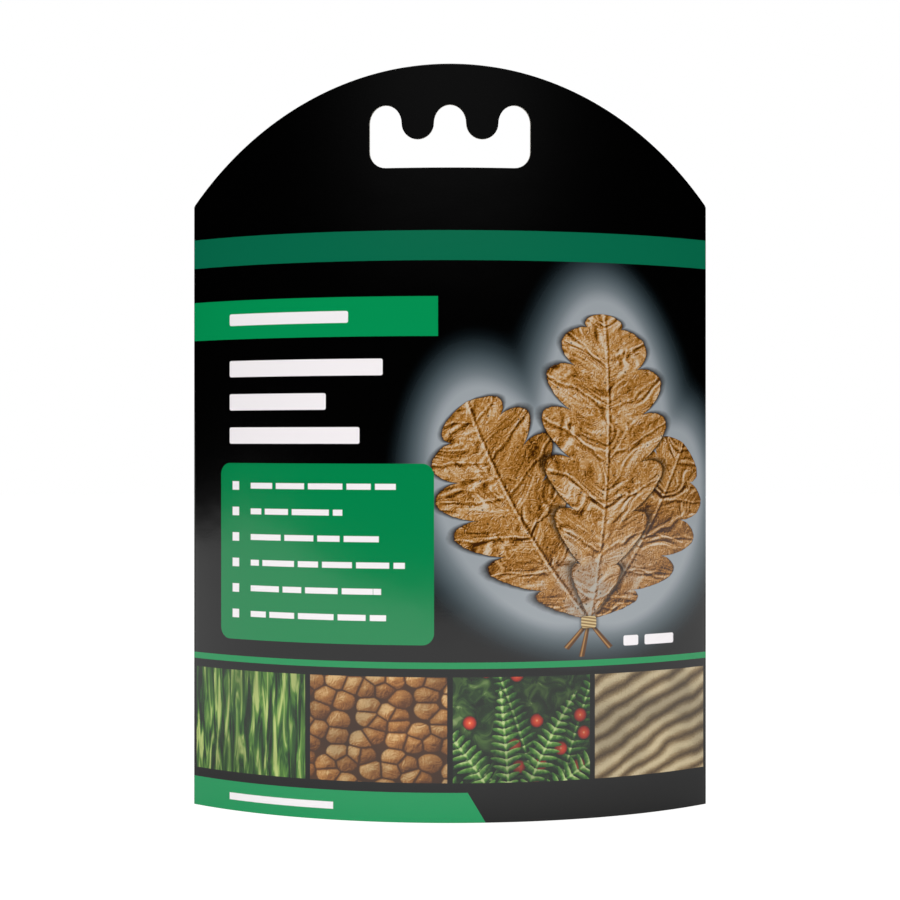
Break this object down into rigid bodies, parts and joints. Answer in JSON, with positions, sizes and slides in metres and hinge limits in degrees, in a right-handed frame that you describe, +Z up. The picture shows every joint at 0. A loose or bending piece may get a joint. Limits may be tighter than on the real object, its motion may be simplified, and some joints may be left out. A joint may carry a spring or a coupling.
{
  "type": "bow-front hanging carton of dried leaves",
  "caption": "Flat-backed card carton with a bowed front, an arched header with a three-lobed hang slot, and a stack of dried leaves glued up inside.",
  "frame": {"origin": "on the ground under the middle of the carton's plan box", "axes": "+Z up along the carton's height, -Y out of the bowed front, +Y out of the flat back, +X to the right seen from the front"},
  "size_m": [0.135, 0.028, 0.1902],
  "materials": {
    "printed_board": "white-lined board printed black and green outside under a satin gloss laminate, bare inside",
    "dried_leaf": "dry brown leaf, matt, with raised veins"
  },
  "bodies": {
    "root": {"carton": "printed_board", "leaf_01": "dried_leaf", "leaf_02": "dried_leaf", "leaf_03": "dried_leaf", "leaf_04": "dried_leaf", "leaf_05": "dried_leaf", "leaf_06": "dried_leaf", "leaf_07": "dried_leaf", "leaf_08": "dried_leaf", "leaf_09": "dried_leaf", "leaf_10": "dried_leaf", "leaf_11": "dried_leaf", "leaf_12": "dried_leaf"}
  },
  "joints": []
}
